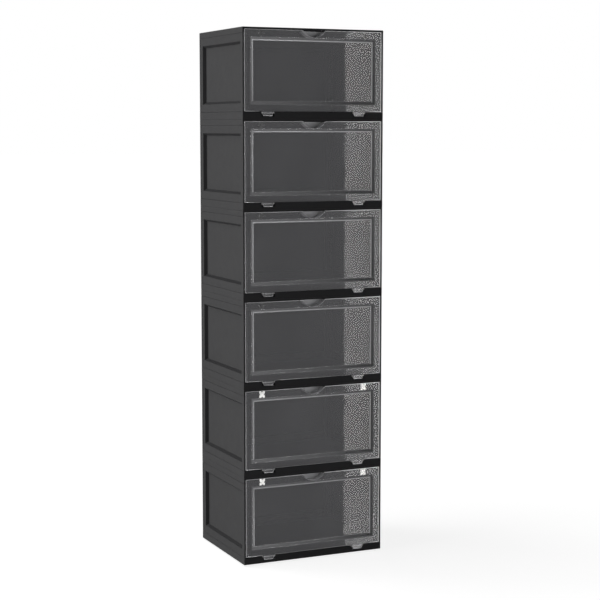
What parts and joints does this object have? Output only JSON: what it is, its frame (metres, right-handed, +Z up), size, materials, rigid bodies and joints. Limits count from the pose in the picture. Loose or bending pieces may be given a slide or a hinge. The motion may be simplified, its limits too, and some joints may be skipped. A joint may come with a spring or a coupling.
{
  "type": "stackable drop-front shoe box",
  "caption": "Tower of stacked dark plastic shoe boxes, each a lift-off box with a clear front door that swings down on hinge tabs and shuts on magnets.",
  "frame": {"origin": "on the floor, under the middle of the stack", "axes": "+X to the right seen from the front, +Y from the doors to the back, +Z up"},
  "size_m": [0.365, 0.28, 1.276],
  "materials": {
    "dark_plastic": "fine-grained satin",
    "clear_plastic": "polished, smoke-tinted, see-through",
    "pin_steel": "drawn wire",
    "bright_keeper": "bright nickel",
    "black_keeper": "blackened",
    "magnet": "nickel plated"
  },
  "bodies": {
    "box1": {"box1_base": "dark_plastic", "box1_roof": "dark_plastic", "box1_left_wall": "dark_plastic", "box1_right_wall": "dark_plastic", "box1_back_wall": "dark_plastic", "box1_hinge_pins": "pin_steel", "box1_magnets": "magnet"},
    "box1_door": {"box1_door": "clear_plastic", "box1_keeper_plates": "bright_keeper"},
    "box2": {"box2_base": "dark_plastic", "box2_roof": "dark_plastic", "box2_left_wall": "dark_plastic", "box2_right_wall": "dark_plastic", "box2_back_wall": "dark_plastic", "box2_hinge_pins": "pin_steel", "box2_magnets": "magnet"},
    "box2_door": {"box2_door": "clear_plastic", "box2_keeper_plates": "bright_keeper"},
    "box3": {"box3_base": "dark_plastic", "box3_roof": "dark_plastic", "box3_left_wall": "dark_plastic", "box3_right_wall": "dark_plastic", "box3_back_wall": "dark_plastic", "box3_hinge_pins": "pin_steel", "box3_magnets": "magnet"},
    "box3_door": {"box3_door": "clear_plastic", "box3_keeper_plates": "black_keeper"},
    "box4": {"box4_base": "dark_plastic", "box4_roof": "dark_plastic", "box4_left_wall": "dark_plastic", "box4_right_wall": "dark_plastic", "box4_back_wall": "dark_plastic", "box4_hinge_pins": "pin_steel", "box4_magnets": "magnet"},
    "box4_door": {"box4_door": "clear_plastic", "box4_keeper_plates": "black_keeper"},
    "box5": {"box5_base": "dark_plastic", "box5_roof": "dark_plastic", "box5_left_wall": "dark_plastic", "box5_right_wall": "dark_plastic", "box5_back_wall": "dark_plastic", "box5_hinge_pins": "pin_steel", "box5_magnets": "magnet"},
    "box5_door": {"box5_door": "clear_plastic", "box5_keeper_plates": "black_keeper"},
    "box6": {"box6_base": "dark_plastic", "box6_roof": "dark_plastic", "box6_left_wall": "dark_plastic", "box6_right_wall": "dark_plastic", "box6_back_wall": "dark_plastic", "box6_hinge_pins": "pin_steel", "box6_magnets": "magnet"},
    "box6_door": {"box6_door": "clear_plastic", "box6_keeper_plates": "black_keeper"}
  },
  "joints": [
    {"name": "box1_door_hinge", "type": "hinge", "parent": "box1", "child": "box1_door", "pos_m": [0, -0.137, 0.0185], "axis": [1, 0, 0], "range_deg": [0, 90]},
    {"name": "box2_lift", "type": "slide", "parent": "box1", "child": "box2", "axis": [0, 0, 1], "range_m": [0, 0.06]},
    {"name": "box2_door_hinge", "type": "hinge", "parent": "box2", "child": "box2_door", "pos_m": [0, -0.137, 0.2305], "axis": [1, 0, 0], "range_deg": [0, 90]},
    {"name": "box3_lift", "type": "slide", "parent": "box2", "child": "box3", "axis": [0, 0, 1], "range_m": [0, 0.06]},
    {"name": "box3_door_hinge", "type": "hinge", "parent": "box3", "child": "box3_door", "pos_m": [0, -0.137, 0.4425], "axis": [1, 0, 0], "range_deg": [0, 90]},
    {"name": "box4_lift", "type": "slide", "parent": "box3", "child": "box4", "axis": [0, 0, 1], "range_m": [0, 0.06]},
    {"name": "box4_door_hinge", "type": "hinge", "parent": "box4", "child": "box4_door", "pos_m": [0, -0.137, 0.6545], "axis": [1, 0, 0], "range_deg": [0, 90]},
    {"name": "box5_lift", "type": "slide", "parent": "box4", "child": "box5", "axis": [0, 0, 1], "range_m": [0, 0.06]},
    {"name": "box5_door_hinge", "type": "hinge", "parent": "box5", "child": "box5_door", "pos_m": [0, -0.137, 0.8665], "axis": [1, 0, 0], "range_deg": [0, 90]},
    {"name": "box6_lift", "type": "slide", "parent": "box5", "child": "box6", "axis": [0, 0, 1], "range_m": [0, 0.06]},
    {"name": "box6_door_hinge", "type": "hinge", "parent": "box6", "child": "box6_door", "pos_m": [0, -0.137, 1.0785], "axis": [1, 0, 0], "range_deg": [0, 90]}
  ]
}
